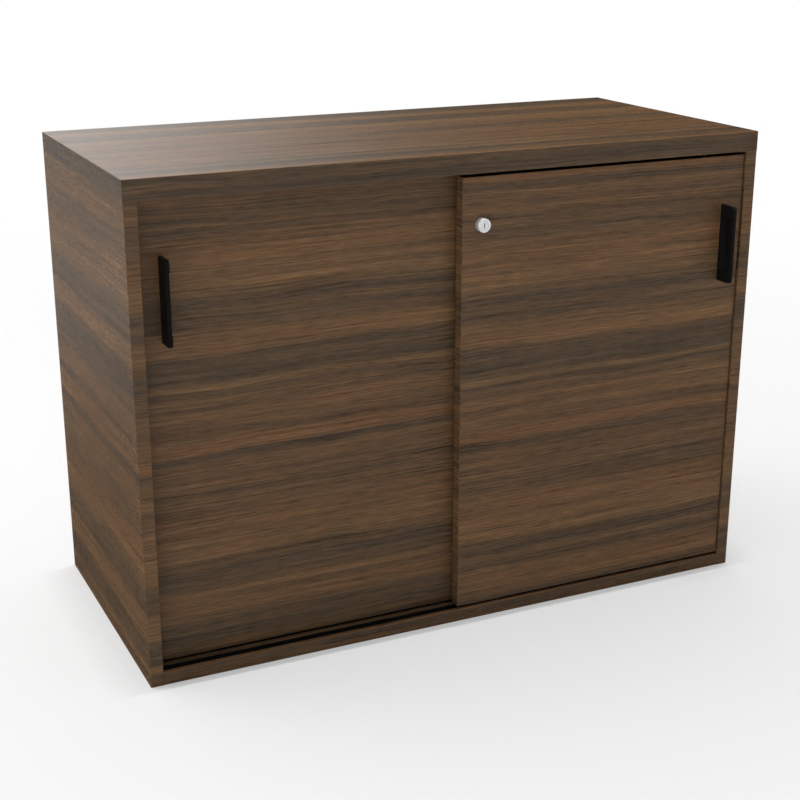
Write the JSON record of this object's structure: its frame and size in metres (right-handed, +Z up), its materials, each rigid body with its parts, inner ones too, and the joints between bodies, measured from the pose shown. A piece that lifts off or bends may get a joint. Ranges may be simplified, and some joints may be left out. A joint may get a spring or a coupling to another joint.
{
  "type": "office credenza",
  "caption": "Office credenza with a dark wood-grain carcass, overlapping sliding doors on rollers, black fin handles, a push lock and an adjustable shelf.",
  "frame": {"origin": "middle of the carcass's footprint, on the floor under the bottom panel", "axes": "+X to the right along the width, +Y from the doors to the back, +Z up"},
  "size_m": [1, 0.4875, 0.727],
  "materials": {
    "walnut_laminate": "dark walnut-pattern melamine, satin, horizontal grain",
    "handle_black": "satin black",
    "track_plastic": "black extruded or moulded plastic",
    "nylon": "natural nylon",
    "lock_chrome": "polished chrome plate",
    "zinc_steel": "zinc plated"
  },
  "bodies": {
    "carcass": {"top_panel": "walnut_laminate", "bottom_panel": "walnut_laminate", "left_side_panel": "walnut_laminate", "right_side_panel": "walnut_laminate", "back_panel": "walnut_laminate", "shelf": "walnut_laminate", "lower_track_front": "track_plastic", "lower_track_rear": "track_plastic", "upper_track_front": "track_plastic", "upper_track_rear": "track_plastic", "shelf_pin_left_front": "zinc_steel", "shelf_pin_left_back": "zinc_steel", "shelf_pin_right_front": "zinc_steel", "shelf_pin_right_back": "zinc_steel", "top_cam_left_1": "zinc_steel", "top_cam_left_2": "zinc_steel", "top_cam_right_1": "zinc_steel", "top_cam_right_2": "zinc_steel", "bottom_cam_left_1": "zinc_steel", "bottom_cam_left_2": "zinc_steel", "bottom_cam_right_1": "zinc_steel", "bottom_cam_right_2": "zinc_steel", "top_cam_bolt_left_1": "zinc_steel", "top_cam_bolt_left_2": "zinc_steel", "top_cam_bolt_right_1": "zinc_steel", "top_cam_bolt_right_2": "zinc_steel", "bottom_cam_bolt_left_1": "zinc_steel", "bottom_cam_bolt_left_2": "zinc_steel", "bottom_cam_bolt_right_1": "zinc_steel", "bottom_cam_bolt_right_2": "zinc_steel"},
    "front_door": {"front_door": "walnut_laminate", "front_door_handle": "handle_black", "front_door_handle_screw_lower": "zinc_steel", "front_door_handle_screw_upper": "zinc_steel", "front_door_roller_fork_left": "track_plastic", "front_door_roller_fork_right": "track_plastic", "front_door_guide_sleeve_left": "track_plastic", "front_door_guide_sleeve_right": "track_plastic", "lock_barrel": "lock_chrome"},
    "front_door_roller_left": {"front_door_roller_left": "nylon"},
    "front_door_guide_pin_left": {"front_door_guide_pin_left": "track_plastic"},
    "front_door_roller_right": {"front_door_roller_right": "nylon"},
    "front_door_guide_pin_right": {"front_door_guide_pin_right": "track_plastic"},
    "rear_door": {"rear_door": "walnut_laminate", "rear_door_handle": "handle_black", "rear_door_handle_screw_lower": "zinc_steel", "rear_door_handle_screw_upper": "zinc_steel", "rear_door_roller_fork_left": "track_plastic", "rear_door_roller_fork_right": "track_plastic", "rear_door_guide_sleeve_left": "track_plastic", "rear_door_guide_sleeve_right": "track_plastic", "lock_strike": "zinc_steel"},
    "rear_door_roller_left": {"rear_door_roller_left": "nylon"},
    "rear_door_guide_pin_left": {"rear_door_guide_pin_left": "track_plastic"},
    "rear_door_roller_right": {"rear_door_roller_right": "nylon"},
    "rear_door_guide_pin_right": {"rear_door_guide_pin_right": "track_plastic"},
    "lock_plunger": {"lock_plunger": "lock_chrome", "lock_bolt": "zinc_steel"},
    "lock_plug": {"lock_plug": "lock_chrome"}
  },
  "joints": [
    {"name": "front_door_slide", "type": "slide", "parent": "carcass", "child": "front_door", "axis": [1, 0, 0], "range_m": [-0.43, 0]},
    {"name": "rear_door_slide", "type": "slide", "parent": "carcass", "child": "rear_door", "axis": [1, 0, 0], "range_m": [0, 0.43]},
    {"name": "front_door_roller_left_turn", "type": "hinge", "parent": "front_door", "child": "front_door_roller_left", "pos_m": [0.061, -0.2155, 0.0231], "axis": [0, 1, 0], "continuous": true},
    {"name": "front_door_guide_pin_left_spring", "type": "slide", "parent": "front_door", "child": "front_door_guide_pin_left", "axis": [0, 0, 1], "range_m": [-0.0075, 0], "stiffness_N_per_m": 300},
    {"name": "front_door_roller_right_turn", "type": "hinge", "parent": "front_door", "child": "front_door_roller_right", "pos_m": [0.41, -0.2155, 0.0231], "axis": [0, 1, 0], "continuous": true},
    {"name": "front_door_guide_pin_right_spring", "type": "slide", "parent": "front_door", "child": "front_door_guide_pin_right", "axis": [0, 0, 1], "range_m": [-0.0075, 0], "stiffness_N_per_m": 300},
    {"name": "rear_door_roller_left_turn", "type": "hinge", "parent": "rear_door", "child": "rear_door_roller_left", "pos_m": [-0.41, -0.19, 0.0231], "axis": [0, 1, 0], "continuous": true},
    {"name": "rear_door_guide_pin_left_spring", "type": "slide", "parent": "rear_door", "child": "rear_door_guide_pin_left", "axis": [0, 0, 1], "range_m": [-0.0075, 0], "stiffness_N_per_m": 300},
    {"name": "rear_door_roller_right_turn", "type": "hinge", "parent": "rear_door", "child": "rear_door_roller_right", "pos_m": [-0.03, -0.19, 0.0231], "axis": [0, 1, 0], "continuous": true},
    {"name": "rear_door_guide_pin_right_spring", "type": "slide", "parent": "rear_door", "child": "rear_door_guide_pin_right", "axis": [0, 0, 1], "range_m": [-0.0075, 0], "stiffness_N_per_m": 300},
    {"name": "lock_push", "type": "slide", "parent": "front_door", "child": "lock_plunger", "axis": [0, 1, 0], "range_m": [0, 0.0068], "stiffness_N_per_m": 300},
    {"name": "lock_key_turn", "type": "hinge", "parent": "lock_plunger", "child": "lock_plug", "pos_m": [0.022, -0.226, 0.6225], "axis": [0, 1, 0], "range_deg": [0, 90]}
  ],
  "couplings": [
    {"joint": "front_door_roller_left_turn", "follows": "front_door_slide", "rad_per_m": 90.909},
    {"joint": "front_door_roller_right_turn", "follows": "front_door_slide", "rad_per_m": 90.909},
    {"joint": "rear_door_roller_left_turn", "follows": "rear_door_slide", "rad_per_m": 90.909},
    {"joint": "rear_door_roller_right_turn", "follows": "rear_door_slide", "rad_per_m": 90.909}
  ]
}
